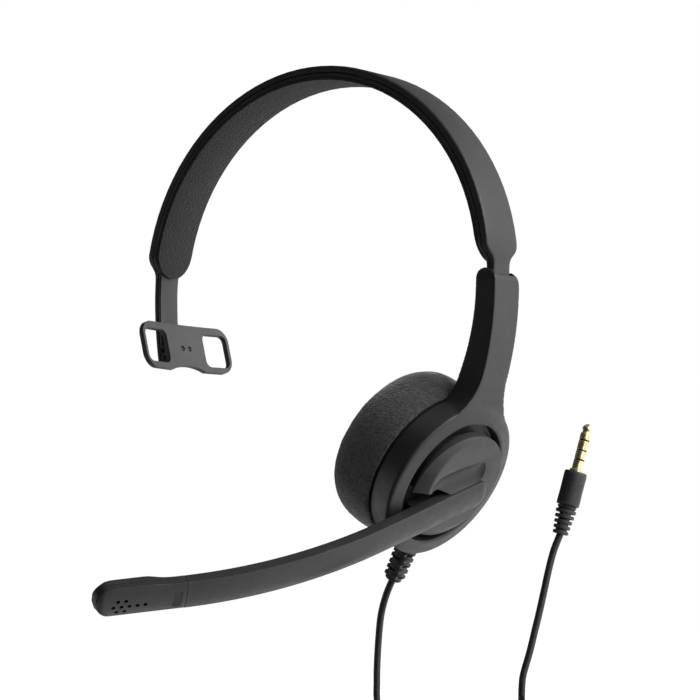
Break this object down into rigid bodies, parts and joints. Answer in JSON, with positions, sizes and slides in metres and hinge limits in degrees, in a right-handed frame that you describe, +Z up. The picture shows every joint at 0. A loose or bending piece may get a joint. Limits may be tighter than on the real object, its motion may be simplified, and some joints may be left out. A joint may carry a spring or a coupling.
{
  "type": "office headset",
  "caption": "One-ear office headset with an arched padded band, temple rest, foam ear cup, turning microphone boom and a lead ending in a small round plug.",
  "frame": {"origin": "middle of the head pad's inner face at the crown of the arch, where the headset rests on a head", "axes": "+Z up, +X towards the ear cup, -Y the way the wearer looks"},
  "size_m": [0.1579, 0.1503, 0.2219],
  "materials": {
    "satin_black": "satin moulded",
    "soft_black": "matte, soft to the touch",
    "foam_black": "open-cell foam",
    "warm_grey": "fine matt",
    "steel": "plain",
    "gold_plate": "thin bright plating",
    "board_green": "lacquered board",
    "cord_black": "smooth jacket with a slight sheen"
  },
  "bodies": {
    "headband": {"outer_band": "satin_black", "spring_band": "steel", "inner_band": "satin_black", "head_pad": "soft_black", "tongue_stop": "steel"},
    "temple_rest": {"rest_plate": "warm_grey", "rest_leaf": "satin_black", "rest_pin": "steel", "rest_screw_front": "steel", "rest_screw_rear": "steel"},
    "arm": {"arm_housing": "satin_black", "arm_cover": "satin_black", "arm_cover_screw_upper": "steel", "arm_cover_screw_lower": "steel", "detent_leaf": "steel", "strain_relief": "soft_black", "speaker_plate": "satin_black", "speaker_frame": "satin_black", "speaker_cone": "warm_grey", "speaker_magnet": "steel", "speaker_cloth": "soft_black", "ear_cushion": "foam_black", "terminal_board": "board_green", "lead_down": "cord_black", "lead_up": "cord_black", "lead_hank": "cord_black", "lead_tie": "soft_black", "plug_boot": "soft_black", "plug_body": "soft_black", "plug_sleeve": "gold_plate", "plug_ring_2": "gold_plate", "plug_ring_1": "gold_plate", "plug_tip": "gold_plate", "plug_spacer_3": "soft_black", "plug_spacer_2": "soft_black", "plug_spacer_1": "soft_black"},
    "boom": {"boom_disc": "satin_black", "boom_washer": "steel", "boom_screw": "steel", "boom_beam": "satin_black", "mic_head_front": "satin_black", "mic_head_back": "satin_black", "mic_window": "warm_grey", "mic_capsule": "steel", "mic_boot": "soft_black"}
  },
  "joints": [
    {"name": "arm_slide", "type": "slide", "parent": "headband", "child": "arm", "axis": [-0.1219, 0, -0.9925], "range_m": [-0.001, 0.017]},
    {"name": "boom_turn", "type": "hinge", "parent": "arm", "child": "boom", "pos_m": [0.0512, 0, -0.1364], "axis": [-0.8415, 0, 0.5402], "range_deg": [-30, 240]},
    {"name": "rest_tilt", "type": "hinge", "parent": "headband", "child": "temple_rest", "pos_m": [-0.06615, 0, -0.08741], "axis": [0, 1, 0], "range_deg": [-15, 15]}
  ]
}
